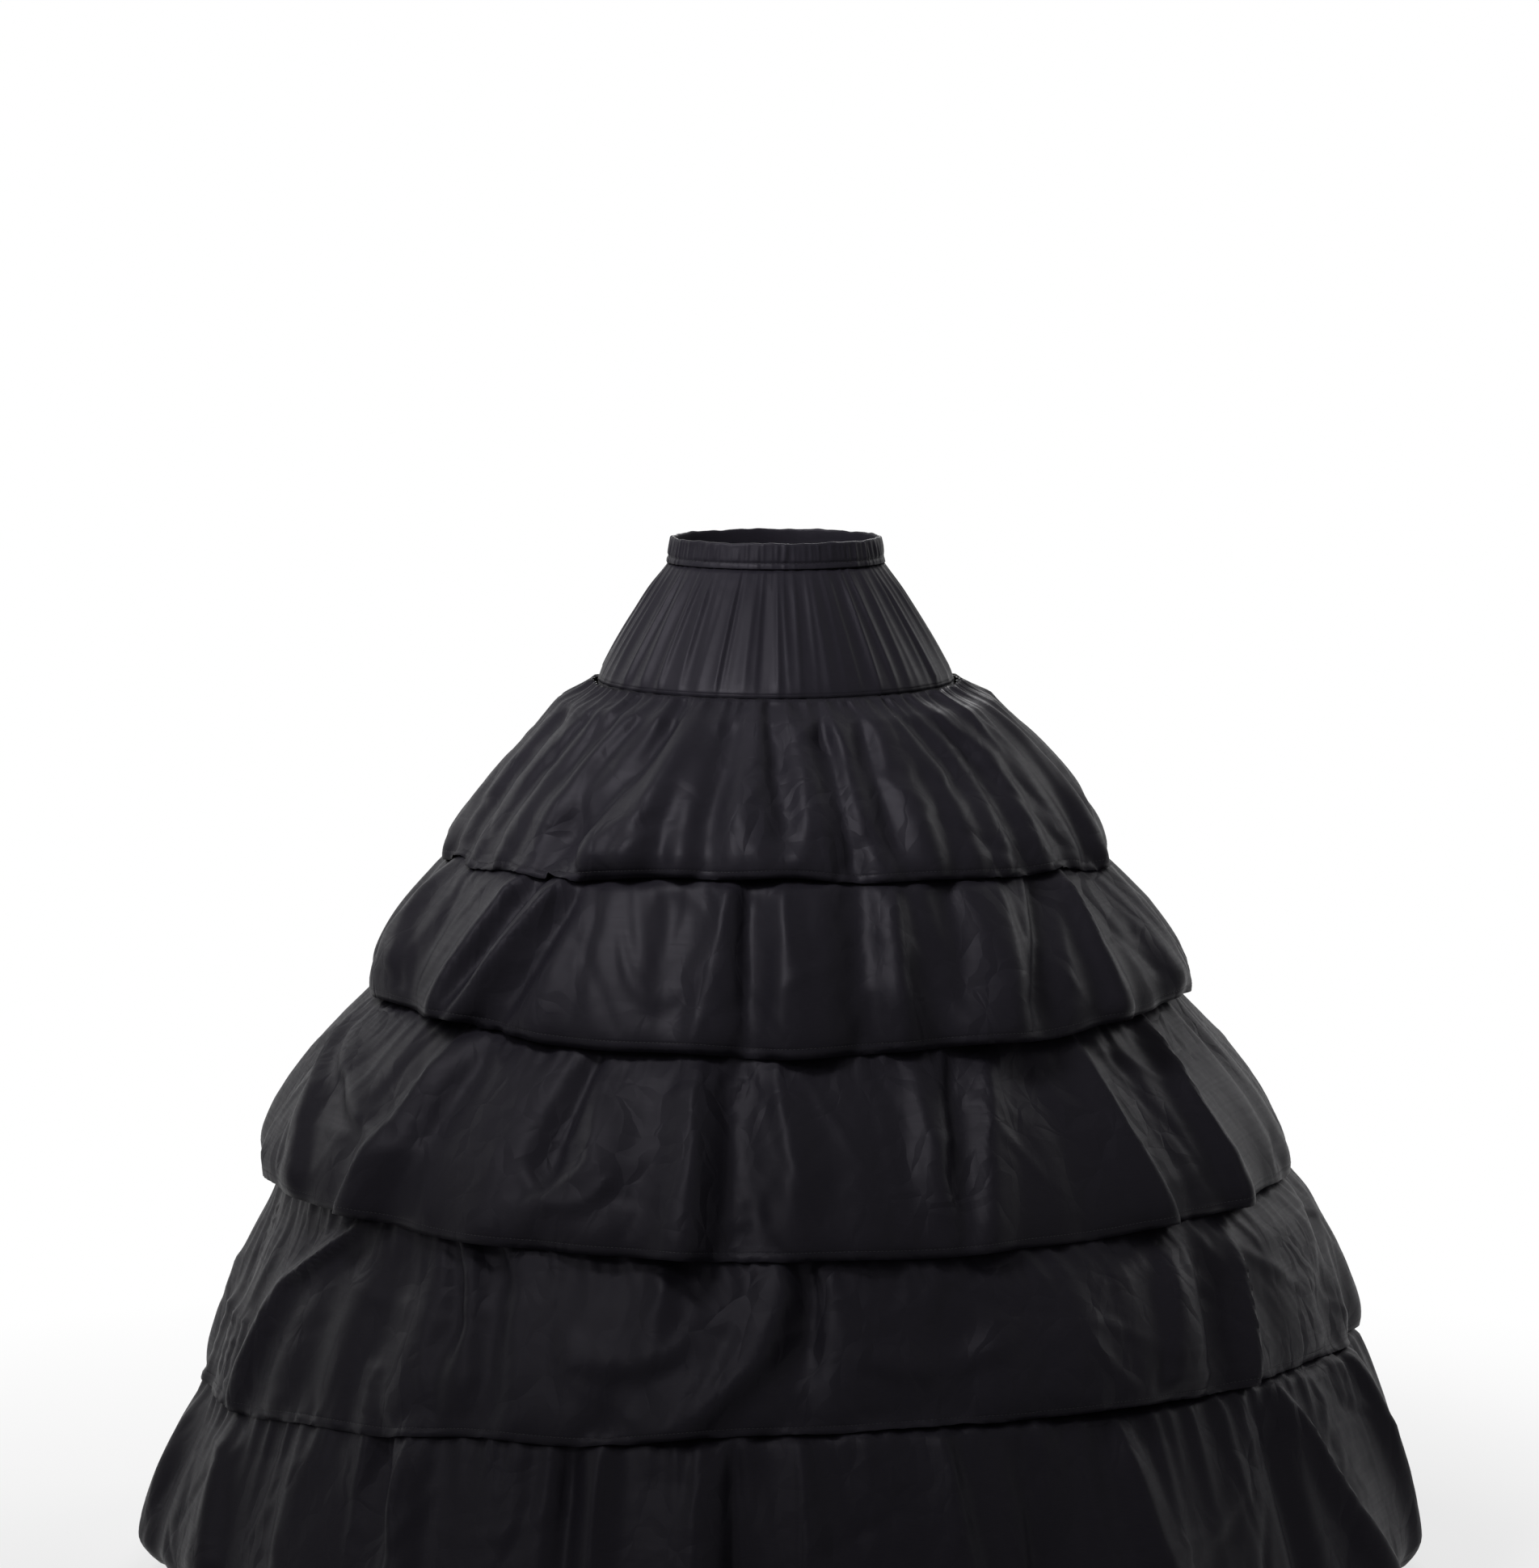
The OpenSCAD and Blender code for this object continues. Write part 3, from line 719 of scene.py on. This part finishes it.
# a strip of cloth, gathered at its pinned rows, settles on the cloth under it
def settle(goal, pinned, under):
    points = goal.copy()
    old = goal.copy()
    rows = len(goal)
    gather = settleSet["gatherWidth"] * np.exp(-np.arange(rows) / (settleSet["gatherReach"] * rows))
    spare = (settleSet["spareWidth"] + gather)[:, None, None]
    tall = settleSet["spareLength"]
    across = lengths(np.roll(goal, -1, 1) - goal) * spare
    acrossNext = np.roll(across, -1, 1)
    down = lengths(np.diff(goal, axis=0)) * tall
    slant = [(shift, lengths(np.roll(goal, shift, 1)[1:] - goal[:-1]) * tall) for shift in (1, -1)]
    bendAcross = [
        (reach, stiff, lengths(np.roll(goal, -reach, 1) - goal) * spare)
        for reach, stiff in settleSet["bendAcross"]]
    bendDown = [
        (reach, stiff, lengths(goal[reach:] - goal[:-reach]) * tall)
        for reach, stiff in settleSet["bendDown"]]
    evens = rows // 2 * 2
    odds = (rows - 1) // 2 * 2 + 1
    for step in range(settleSet["steps"]):
        speed = (points - old) * settleSet["keepSpeed"]
        old = points.copy()
        points += speed + settleSet["goalPull"] * (goal - points)
        points[..., 2] -= settleSet["gravity"]
        for rest in (across, acrossNext):
            pull(points[:, 0::2], points[:, 1::2], rest[:, 0::2])
            points = np.roll(points, -1, 1)
        points = np.roll(points, 2, 1)
        pull(points[0:evens:2], points[1:evens:2], down[0:evens:2])
        pull(points[1:odds:2], points[2:odds:2], down[1:odds:2])
        for shift, rest in slant:
            between = np.roll(points, shift, 1)[1:] - points[:-1]
            move = between * (settleSet["slantPull"] * (1 - rest / lengths(between)))
            points[:-1] += move
            points[1:] -= np.roll(move, -shift, 1)
        for reach, stiff, rest in bendAcross:
            move = bendMove(np.roll(points, -reach, 1) - points, rest, stiff)
            points += move - np.roll(move, reach, 1)
        for reach, stiff, rest in bendDown:
            move = bendMove(points[reach:] - points[:-reach], rest, stiff)
            points[:-reach] += move
            points[reach:] -= move
        if step % 2 == 0:
            under.push(points, settleSet["gap"])
        points[:pinned] = goal[:pinned]
    wide = across.sum(1)
    long = down.sum(0)
    return points, (float(wide.max()), float(long.mean()), float(wide.mean() * long.mean()))


# the five flounces, from the lowest up, each over the last
drapes = [None] * 5
for tier in range(4, -1, -1):
    goal, pinned = flounceGoal(tier)
    drapes[tier], cut = settle(goal, pinned, Below(drapes[tier + 1:tier + 2]))
    clothSheet(
        f"cloth_flounce_{tier + 1}", drapes[tier], cut, np.linspace(cut[1], 0, len(goal)), taffeta,
        flounceSet["thick"], f"flounce_{tier + 1}", "taffeta", "gathered", f"hoop_casing_{max(tier, 1)}")

# gathered yoke between the waistband and the first flounce
yokeSet = {
    "topHalf": (0.1096, 0.0876), "topZ": -0.0124, "seamR": 0.1838, "seamZ": -0.135, "belly": 1.1,
    "columns": 640, "rows": 22, "thick": 0.0006, "seed": 7, "meanR": (0.105, 0.079),
    "pleats": 74, "shift": (-0.38, 0.38), "drift": 0.02, "deep": (0.0014, 0.0038), "wide": (0.0032, 0.0068),
    "lean": (-0.45, 0.45), "hush": (0.75, 1.25), "start": 0.62, "spread": 0.55, "sharp": 1.6,
    "topDeep": 0.35, "topRun": 4, "hushDeep": 0.35, "hushFrom": 0.7, "hushRun": 0.3,
    "waves": range(4, 40), "waveHigh": 0.00022, "waveRun": 3,
    "seamFlat": 0.8, "seamFrom": 0.9, "seamRun": 0.1}


def yokeGrid():
    draw = np.random.default_rng(yokeSet["seed"])
    down = np.linspace(0, 1, yokeSet["rows"])[:, None]
    angles = ringAngles(yokeSet["columns"])
    meanR = yokeSet["meanR"][0] + yokeSet["meanR"][1] * down
    relief = np.zeros((yokeSet["rows"], yokeSet["columns"]))
    for n in range(yokeSet["pleats"]):
        angle = (n + draw.uniform(*yokeSet["shift"])) * fullTurn / yokeSet["pleats"]
        drift = draw.normal() * yokeSet["drift"]
        deep, wide, lean, hush = drawFrom(draw, yokeSet, "deep", "wide", "lean", "hush")
        aside = arcOfRadians(angles - angle, drift * down, meanR)
        reach = wide * (yokeSet["start"] + yokeSet["spread"] * down)
        reach = reach * np.where(aside < 0, 1 + lean, 1 - lean)
        rise = yokeSet["topDeep"] + (1 - yokeSet["topDeep"]) * ease(down * yokeSet["topRun"])
        fall = ease((down - yokeSet["hushFrom"] * hush) / yokeSet["hushRun"])
        fade = deep * rise * (1 - yokeSet["hushDeep"] * fall)
        relief += fade * np.exp(-np.abs(aside / reach) ** yokeSet["sharp"])
    for n in yokeSet["waves"]:
        high = yokeSet["waveHigh"] * draw.normal()
        phase = n * angles + draw.uniform(*anyPhase) + draw.normal() * down
        relief += high * np.cos(phase) * ease(down * yokeSet["waveRun"])
    relief *= 1 - yokeSet["seamFlat"] * ease((down - yokeSet["seamFrom"]) / yokeSet["seamRun"])
    puff = 1 - (1 - down) ** yokeSet["belly"]
    halfWide, halfDeep = [blend(half, yokeSet["seamR"], puff) + relief for half in yokeSet["topHalf"]]
    height = blend(yokeSet["topZ"], yokeSet["seamZ"], down) + 0 * angles
    return ringPoints(angles, halfWide, halfDeep, height)


clothRing(
    "cloth_yoke", yokeGrid(), yokeTaffeta, yokeSet["thick"], "yoke", "taffeta", "gathered", "waist_elastic")

# waistband: cloth folded over the elastic and ruched by it
bandSet = {
    "half": (0.104, 0.082), "inner": 0.0006, "outer": 0.0044, "high": 0.013, "thick": 0.0006, "meanR": 0.095,
    "columns": 540, "innerRows": 6, "turnRows": 9, "outerRows": 20, "seed": 21,
    "ruches": 118, "shift": (-0.4, 0.4), "deep": (0.0004, 0.0017), "wide": (0.0011, 0.0023),
    "middle": (-0.004, 0.005), "tall": (0.01, 0.018), "flare": 0.0044, "flareBend": 1.4,
    "stitchUp": 0.006, "stitchWide": 0.0016, "stitchFlat": 0.75, "stitchDeep": 0.0007,
    "waves": ((0.0004, 9, 1), (0.0003, 23, 0), (0.00015, 41, 2))}


# the band's section: up the inside, over the top and down the outside
def bandLine():
    inner = bandSet["inner"]
    outer = bandSet["outer"]
    high = bandSet["high"]
    turnZ = high - outer / 2
    line = [(inner, z) for z in np.linspace(-high, turnZ, bandSet["innerRows"])]
    for angle in np.linspace(0, math.pi, bandSet["turnRows"])[1:-1]:
        deep = inner + (outer - inner) * (1 - math.cos(angle)) / 2
        line.append((deep, turnZ + math.sin(angle) * outer / 2))
    line += [(outer, z) for z in np.linspace(turnZ, -high, bandSet["outerRows"])]
    return np.array(line)


def bandGrid():
    draw = np.random.default_rng(bandSet["seed"])
    angles = ringAngles(bandSet["columns"])
    line = bandLine()
    grow = line[:, :1]
    z = line[:, 1:]
    high = bandSet["high"]
    outside = ease((grow - bandSet["inner"]) / (bandSet["outer"] - bandSet["inner"]))
    ruche = np.zeros((len(line), len(angles)))
    for n in range(bandSet["ruches"]):
        angle = (n + draw.uniform(*bandSet["shift"])) * fullTurn / bandSet["ruches"]
        aside = arcOfRadians(angles, angle, bandSet["meanR"])
        wide, middle, tall, deep = drawFrom(draw, bandSet, "wide", "middle", "tall", "deep")
        ruche += deep * np.clip(1 - ((z - middle) / tall) ** 2, 0, 1) * np.exp(-(aside / wide) ** 2)
    seam = np.exp(-((z + high - bandSet["stitchUp"]) / bandSet["stitchWide"]) ** 2)
    pinch = 1 - bandSet["stitchFlat"] * seam
    flare = bandSet["flare"] * np.clip((high - z) / (2 * high), 0, 1) ** bandSet["flareBend"]
    grow = grow + (flare + ruche * pinch - bandSet["stitchDeep"] * (1 - pinch)) * outside
    wave = sum(size * np.cos(n * angles + phase) for size, n, phase in bandSet["waves"])
    height = z + wave * ease((z + high) / (2 * high))
    return ringPoints(angles, bandSet["half"][0] + grow, bandSet["half"][1] + grow, height)


bandDrape = bandGrid()
clothRing(
    "cloth_waistband", bandDrape, bandTaffeta, bandSet["thick"], "waistband", "taffeta", "folded",
    "waist_elastic")

# braided elastic inside the waistband
elasticSet = {
    "half": (0.1058, 0.0838), "thick": 0.001, "low": -0.0088, "high": 0.0092, "columns": 160, "rows": 22,
    "cords": 7, "cordHigh": 0.00025, "twistHigh": 0.00008, "twists": 60, "twistLean": 40}


def elasticGrid():
    down = np.linspace(0, 1, elasticSet["rows"])[:, None]
    angles = ringAngles(elasticSet["columns"])
    braid = elasticSet["cordHigh"] * np.abs(np.sin(down * math.pi * elasticSet["cords"]))
    twist = np.sin(angles * elasticSet["twists"] + down * elasticSet["twistLean"])
    braid = braid + elasticSet["twistHigh"] * twist
    height = blend(elasticSet["high"], elasticSet["low"], down) + 0 * angles
    return ringPoints(angles, elasticSet["half"][0] + braid, elasticSet["half"][1] + braid, height)


clothRing(
    "cloth_elastic", elasticGrid(), elasticKnit, elasticSet["thick"], "waist_elastic", "elastic",
    "stretched", "cloth_waistband")

# the underskirt: four panels sewn together at the hoops
panelSet = {
    "columns": [220, 280, 340, 380], "rows": 13, "thick": 0.0005, "seed": 60, "gap": 0.0002,
    "sag": 0.005, "sagEven": 0.6, "sagWaves": 7, "pucker": 0.0012, "puckerFrom": 20, "puckerStep": 3,
    "puckerColumns": 4, "puckerSpread": 2, "puckerFade": 0.5}


def panelGrid(tier):
    draw = np.random.default_rng(panelSet["seed"] + tier)
    columns = panelSet["columns"][tier]
    half = skirt["seamBand"] / 2
    seamR = skirt["anchorR"][tier]
    hoopR = skirt["anchorR"][tier + 1]
    hoopZ = skirt["anchorZ"][tier + 1]
    top = skirt["anchorZ"][tier] - (panelSet["gap"] if tier else 0)
    low = hoopZ - (half if tier == 3 else 0)
    bandTop = top - (half if tier else 2 * half)
    bandLow = hoopZ + half
    z = np.concatenate([[top], np.linspace(bandTop, bandLow, panelSet["rows"] - 2), [low]])[:, None]
    down = np.clip((bandTop - z) / (bandTop - bandLow), 0, 1)
    angles = ringAngles(columns)
    slack = np.sin(math.pi * down)
    pucker = sum(
        draw.normal() * np.cos(n * angles + draw.uniform(*anyPhase) + draw.normal() * down)
        for n in range(panelSet["puckerFrom"], columns // panelSet["puckerColumns"], panelSet["puckerStep"]))
    pucker *= panelSet["pucker"] / (np.abs(pucker).std() * panelSet["puckerSpread"])
    wave = np.cos(panelSet["sagWaves"] * angles + tier)
    sag = slack * panelSet["sag"] * (panelSet["sagEven"] + (1 - panelSet["sagEven"]) * wave)
    pucker = slack ** panelSet["puckerFade"] * np.abs(pucker)
    radius = blend(seamR, hoopR, down) - panelSet["gap"] - sag - pucker
    return ringPoints(angles, radius, radius, z + 0 * angles)


for tier in range(4):
    clothRing(
        f"cloth_underskirt_{tier + 1}", panelGrid(tier), lining, panelSet["thick"],
        f"underskirt_panel_{tier + 1}", "lining", "hung", f"hoop_casing_{tier + 1}")

# twill tape sewn inside the underskirt, with a channel for each hoop
tapeSet = {
    "columns": [160, 200, 240, 280], "thick": 0.0007, "face": 0.0015, "seed": 80,
    "waves": range(30, 120, 7), "waveHigh": 0.00012, "waveDown": 0.8, "channelFrom": 0.003,
    "section": [(0.45, 8.4), (0.45, 6.8), (0.45, 5.4), (1.2, 4.95), (3.4, 4.75), (3.92, 4.2), (3.95, 2.1),
                (3.95, 0)]}


def tapeGrid(tier):
    draw = np.random.default_rng(tapeSet["seed"] + tier)
    upper = np.array(tapeSet["section"]) / perMetre
    line = np.concatenate([upper, (upper * [1, -1])[-2::-1]])[::-1]
    deep = line[:, :1]
    angles = ringAngles(tapeSet["columns"][tier])
    wave = sum(
        tapeSet["waveHigh"] * draw.normal() * np.cos(n * angles + draw.uniform(*anyPhase))
        for n in tapeSet["waves"])
    radius = skirt["anchorR"][tier + 1] - tapeSet["face"] - deep
    radius = radius - np.abs(wave) * (deep > tapeSet["channelFrom"])
    height = skirt["anchorZ"][tier + 1] + line[:, 1:] + wave * tapeSet["waveDown"]
    return ringPoints(angles, radius, radius, height)


tapeRows = []
for tier in range(4):
    tapeDrape = tapeGrid(tier)
    clothRing(
        f"cloth_tape_{tier + 1}", tapeDrape, tapeTwill, tapeSet["thick"], f"hoop_casing_{tier + 1}", "tape",
        "stretched", f"cloth_underskirt_{tier + 1}", offset=0)
    tapeRows += [tapeDrape[1], tapeDrape[-2]]

# the hoops and their sleeves keep the solids' shapes
for tier in range(1, 5):
    paint(bpy.data.objects[f"hoop_{tier}"].data, ribbonSteel)
    paint(bpy.data.objects[f"hoop_joiner_{tier}"].data, sleeveSteel)

# machine stitches laid along rows of points
stitchSet = {
    "pitch": 0.0042, "long": 0.0028, "thick": 0.00055, "lift": 0.00012, "hemUp": 0.009,
    "tapePitch": 0.01, "tapeIn": 0.00125}


def stitchTree():
    tree = bpy.data.node_groups.new("stitchRow", "GeometryNodeTree")
    tree.interface.new_socket("Geometry", in_out="INPUT", socket_type="NodeSocketGeometry")
    sockets = []
    for label in ("Pitch", "Stitch Length", "Stitch Thickness", "Thread"):
        kind = "NodeSocketMaterial" if label == "Thread" else "NodeSocketFloat"
        sockets.append(tree.interface.new_socket(label, in_out="INPUT", socket_type=kind).identifier)
    tree.interface.new_socket("Geometry", in_out="OUTPUT", socket_type="NodeSocketGeometry")
    add = tree.nodes.new
    given = add("NodeGroupInput").outputs
    end = add("NodeGroupOutput")
    curve = add("GeometryNodeMeshToCurve")
    even = add("GeometryNodeResampleCurve")
    even.mode = "LENGTH"
    tangent = add("GeometryNodeInputTangent")
    turn = add("FunctionNodeAlignRotationToVector")
    turn.axis = "X"
    bead = add("GeometryNodeMeshIcoSphere")
    bead.inputs["Radius"].default_value = 0.5
    bead.inputs["Subdivisions"].default_value = 1
    size = add("ShaderNodeCombineXYZ")
    copies = add("GeometryNodeInstanceOnPoints")
    real = add("GeometryNodeRealizeInstances")
    finish = add("GeometryNodeSetMaterial")
    links = (
        (given["Geometry"], curve.inputs["Mesh"]),
        (curve.outputs[0], even.inputs["Curve"]),
        (given["Pitch"], even.inputs["Length"]),
        (even.outputs[0], copies.inputs["Points"]),
        (bead.outputs["Mesh"], copies.inputs["Instance"]),
        (tangent.outputs[0], turn.inputs["Vector"]),
        (turn.outputs[0], copies.inputs["Rotation"]),
        (given["Stitch Length"], size.inputs[0]),
        (given["Stitch Thickness"], size.inputs[1]),
        (given["Stitch Thickness"], size.inputs[2]),
        (size.outputs[0], copies.inputs["Scale"]),
        (copies.outputs[0], real.inputs[0]),
        (real.outputs[0], finish.inputs["Geometry"]),
        (given["Thread"], finish.inputs["Material"]),
        (finish.outputs[0], end.inputs[0]))
    for source, target in links:
        tree.links.new(source, target)
    return tree, sockets


stitchNodes, stitchSockets = stitchTree()


def sew(name, rings, pitch):
    points = []
    edges = []
    for ring in rings:
        first = len(points)
        count = len(ring)
        points += ring.tolist()
        edges += [(first + n, first + (n + 1) % count) for n in range(count)]
    mesh = bpy.data.meshes.new(name)
    mesh.from_pydata(points, edges, [])
    piece = bpy.data.objects.new(name, mesh)
    stitches = piece.modifiers.new("stitches", "NODES")
    stitches.node_group = stitchNodes
    for socket, value in zip(stitchSockets, (pitch, stitchSet["long"], stitchSet["thick"], thread)):
        stitches[socket] = value
    scene.collection.objects.link(piece)
    bakeModifiers(piece)
    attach(piece, "root")
    print(name, "faces", len(piece.data.polygons))


# a ring of points on a draped grid, a set distance up from its last row and just proud of the cloth
def ringOn(grid, up):
    across = np.roll(grid, -1, 1) - np.roll(grid, 1, 1)
    normal = np.cross(np.gradient(grid, axis=0), across)
    normal /= lengths(normal)
    back = np.cumsum(lengths(np.diff(grid[::-1], axis=0)).mean(1)[:, 0])
    row = len(grid) - 1 - np.interp(up, np.concatenate([[0], back]), np.arange(len(grid)))
    low = int(row)
    part = row - low
    return grid[low] * (1 - part) + grid[low + 1] * part + normal[low] * stitchSet["lift"]


hemRings = [ringOn(drape, stitchSet["hemUp"]) for drape in drapes]
hemRings.append(ringOn(bandDrape, bandSet["stitchUp"]))
sew("stitches_hems", hemRings, stitchSet["pitch"])
inward = 1 - stitchSet["tapeIn"]
sew("stitches_tapes", [ring * [inward, inward, 1] for ring in tapeRows], stitchSet["tapePitch"])


# the rays that see the background: straight, mirrored or through something clear
def seenRays(tree):
    path = tree.nodes.new("ShaderNodeLightPath").outputs
    straight = Wire(tree, path["Is Camera Ray"])
    return straight + Wire(tree, path["Is Glossy Ray"]) + Wire(tree, path["Is Transmission Ray"])


# pale floor that turns white away from the skirt and is clear from below
floorSet = {
    "below": 0.002, "corners": [(-30, -12), (30, -12), (30, 90), (-30, 90)],
    "paint": (0.93, 0.93, 0.93, 1.0), "white": (1.0, 1.0, 1.0, 1.0),
    "whiteFrom": 0.75, "whiteFull": 1.6, "whiteNear": 0.7}


def floorMaterial():
    shade = Shade("floorPale")
    place = shade.node("TexCoord", out=3)
    x = shade.part(place, 0)
    y = shade.part(place, 1)
    reach = (x * x + y * y) ** 0.5
    far = shade.between(reach, floorSet["whiteFrom"], floorSet["whiteFull"], least=floorSet["whiteNear"])
    matte = shade.node("BsdfDiffuse", {"Color": floorSet["paint"]})
    glow = shade.node("Emission", {"Color": floorSet["white"], "Strength": 1.0})
    seen = seenRays(shade.tree).calc("MINIMUM", 1.0)
    upper = shade.node("MixShader", {0: far * seen, 1: matte, 2: glow})
    under = shade.node("NewGeometry", out="Backfacing")
    clear = shade.node("BsdfTransparent")
    return shade.finish(shade.node("MixShader", {0: under, 1: upper, 2: clear}))


floorLevel = float(min(cadBox[0][2], drapes[4][..., 2].min())) - floorSet["below"]
floorCorners = [(x, y, floorLevel) for x, y in floorSet["corners"]]
floorMesh = bpy.data.meshes.new("floor")
floorMesh.from_pydata(floorCorners, [], [(0, 1, 2, 3)])
floor = addPiece("floor", floorMesh, floorMaterial())
print("floor laid")

# white surroundings, which light the skirt softly
worldSet = {"white": (1, 1, 1, 1), "soft": 0.16, "seen": 1.0}


def studioWorld():
    world = bpy.data.worlds.new("studio")
    world.use_nodes = True
    tree = world.node_tree
    tree.nodes.clear()
    mix = tree.nodes.new("ShaderNodeMixShader")
    connect(tree, seenRays(tree), mix.inputs[0])
    for slot, strength in ((1, worldSet["soft"]), (2, worldSet["seen"])):
        background = tree.nodes.new("ShaderNodeBackground")
        background.inputs["Color"].default_value = worldSet["white"]
        background.inputs["Strength"].default_value = strength
        tree.links.new(background.outputs[0], mix.inputs[slot])
    end = tree.nodes.new("ShaderNodeOutputWorld")
    tree.links.new(mix.outputs[0], end.inputs["Surface"])
    return world


scene.world = studioWorld()

# each lamp: place, aim, size, watts and spread in degrees
lampSet = {
    "top": ((-0.75, -0.95, 1.0), (0, 0, 0.05), 0.5, 9.6, 75),
    "key": ((-3.2, -2.8, 1.7), (0, 0, -0.5), 0.8, 42.0, 180),
    "fill": ((3.2, -3.4, 1.0), (0, 0, -0.6), 1.5, 10.0, 180),
    "rimLeft": ((-3.2, 2.2, 1.2), (0, 0, -0.5), 1.4, 18.0, 180),
    "rimRight": ((3.2, 2.2, 1.2), (0, 0, -0.5), 1.4, 26.0, 180),
    "back": ((0.5, 3.9, 1.7), (0, 0, -0.5), 1.2, 60.0, 180)}
for name, (place, aim, size, watts, spread) in lampSet.items():
    light = bpy.data.lights.new(name, "AREA")
    light.shape = "SQUARE"
    light.size = size
    light.energy = watts
    light.spread = math.radians(spread)
    lamp = bpy.data.objects.new(name, light)
    lamp.location = place
    way = Vector([end - start for start, end in zip(place, aim)])
    lamp.rotation_euler = way.to_track_quat("-Z", "Y").to_euler()
    scene.collection.objects.link(lamp)
print("lamps set")

scene.view_settings.view_transform = "Standard"
